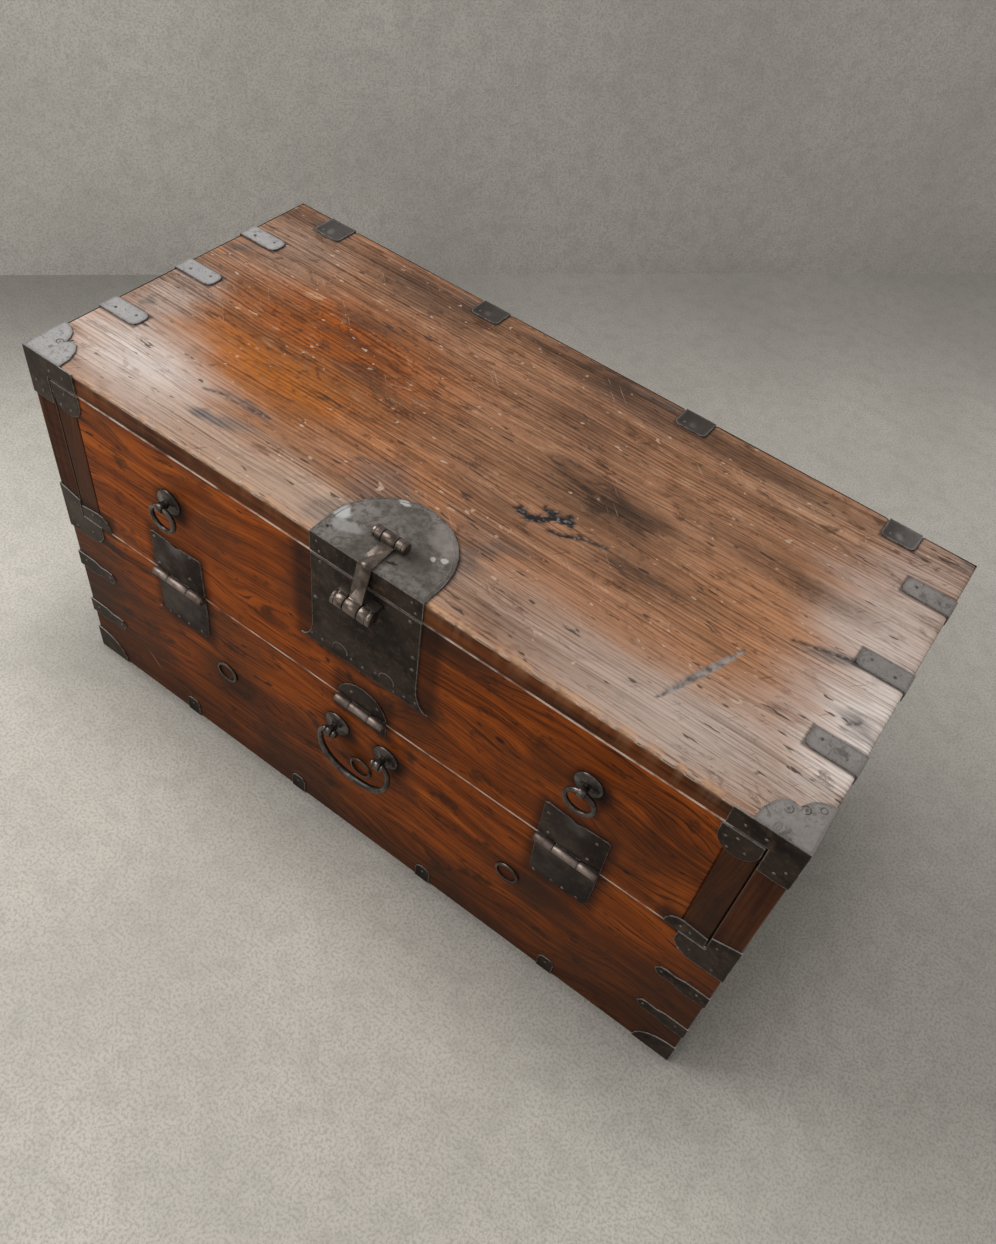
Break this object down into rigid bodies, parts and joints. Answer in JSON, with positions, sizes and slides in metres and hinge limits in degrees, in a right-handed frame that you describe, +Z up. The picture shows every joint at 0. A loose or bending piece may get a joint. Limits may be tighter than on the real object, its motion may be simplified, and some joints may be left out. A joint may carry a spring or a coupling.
{
  "type": "korean trunk",
  "caption": "Low hardwood storage chest bound in wrought iron, whose upper front is a flap that folds down, with a hasp, pull rings and a bail handle.",
  "frame": {"origin": "middle of the case's underside", "axes": "+X to the right along the front, +Z up, the front faces -Y"},
  "size_m": [0.923, 0.4391, 0.5215],
  "materials": {
    "top_wood": "weathered old top board, raised grain, worn satin",
    "front_wood": "red-brown oiled front with a soft sheen",
    "side_wood": "dull grey-brown sides and back",
    "inner_wood": "bare unfinished inner wood",
    "sheet_iron": "dark hammered sheet iron, worn light at the rims",
    "forged_iron": "forged iron, rubbed bright where hands touch it"
  },
  "bodies": {
    "case": {"top_board": "top_wood", "lower_front_board": "front_wood", "side_board_left": "side_wood", "side_board_right": "side_wood", "back_board": "side_wood", "bottom_board": "inner_wood", "top_lock_plate": "sheet_iron", "hinge_lower_leaf_left": "sheet_iron", "hinge_lower_leaf_centre": "sheet_iron", "hinge_lower_leaf_right": "sheet_iron", "top_corner_left": "sheet_iron", "top_corner_right": "sheet_iron", "mid_corner_left": "sheet_iron", "mid_corner_right": "sheet_iron", "front_strap_upper_left": "sheet_iron", "front_strap_upper_right": "sheet_iron", "front_strap_lower_left": "sheet_iron", "front_strap_lower_right": "sheet_iron", "bottom_corner_left": "sheet_iron", "bottom_corner_right": "sheet_iron", "side_strap_front_left": "sheet_iron", "side_strap_front_right": "sheet_iron", "side_strap_middle_left": "sheet_iron", "side_strap_middle_right": "sheet_iron", "side_strap_rear_left": "sheet_iron", "side_strap_rear_right": "sheet_iron", "top_barrel_post_left": "forged_iron", "top_barrel_post_right": "forged_iron", "hinge_pin_left": "forged_iron", "hinge_pin_centre": "forged_iron", "hinge_pin_right": "forged_iron", "bail_rosette_left": "forged_iron", "bail_rosette_right": "forged_iron", "bail_post_left": "forged_iron", "bail_post_right": "forged_iron", "stop_ring_left": "forged_iron", "stop_ring_centre": "forged_iron", "stop_ring_right": "forged_iron"},
    "flap": {"flap_panel": "front_wood", "flap_batten_left": "front_wood", "flap_batten_right": "front_wood", "lock_plate": "sheet_iron", "hinge_upper_leaf_left": "sheet_iron", "hinge_upper_leaf_centre": "sheet_iron", "hinge_upper_leaf_right": "sheet_iron", "flap_corner_left": "sheet_iron", "flap_corner_right": "sheet_iron", "flap_foot_left": "sheet_iron", "flap_foot_right": "sheet_iron", "lock_post_left": "forged_iron", "lock_post_right": "forged_iron", "lock_bar": "forged_iron", "ring_rosette_left": "forged_iron", "ring_rosette_right": "forged_iron", "ring_post_left": "forged_iron", "ring_post_right": "forged_iron"},
    "hasp": {"hasp": "forged_iron"},
    "ring_left": {"pull_ring_left": "forged_iron"},
    "ring_right": {"pull_ring_right": "forged_iron"},
    "bail": {"bail_handle": "forged_iron"}
  },
  "joints": [
    {"name": "flap_hinge", "type": "hinge", "parent": "case", "child": "flap", "pos_m": [0, -0.2122, 0.2755], "axis": [1, 0, 0], "range_deg": [0, 150]},
    {"name": "hasp_pivot", "type": "hinge", "parent": "flap", "child": "hasp", "pos_m": [0, -0.2238, 0.46224], "axis": [1, 0, 0], "range_deg": [0, 100]},
    {"name": "ring_left_swing", "type": "hinge", "parent": "flap", "child": "ring_left", "pos_m": [-0.2672, -0.219, 0.408], "axis": [1, 0, 0], "range_deg": [-150, 0]},
    {"name": "ring_right_swing", "type": "hinge", "parent": "flap", "child": "ring_right", "pos_m": [0.2672, -0.219, 0.408], "axis": [1, 0, 0], "range_deg": [-150, 0]},
    {"name": "bail_swing", "type": "hinge", "parent": "case", "child": "bail", "pos_m": [0, -0.221, 0.2144], "axis": [1, 0, 0], "range_deg": [-95, 0]}
  ]
}
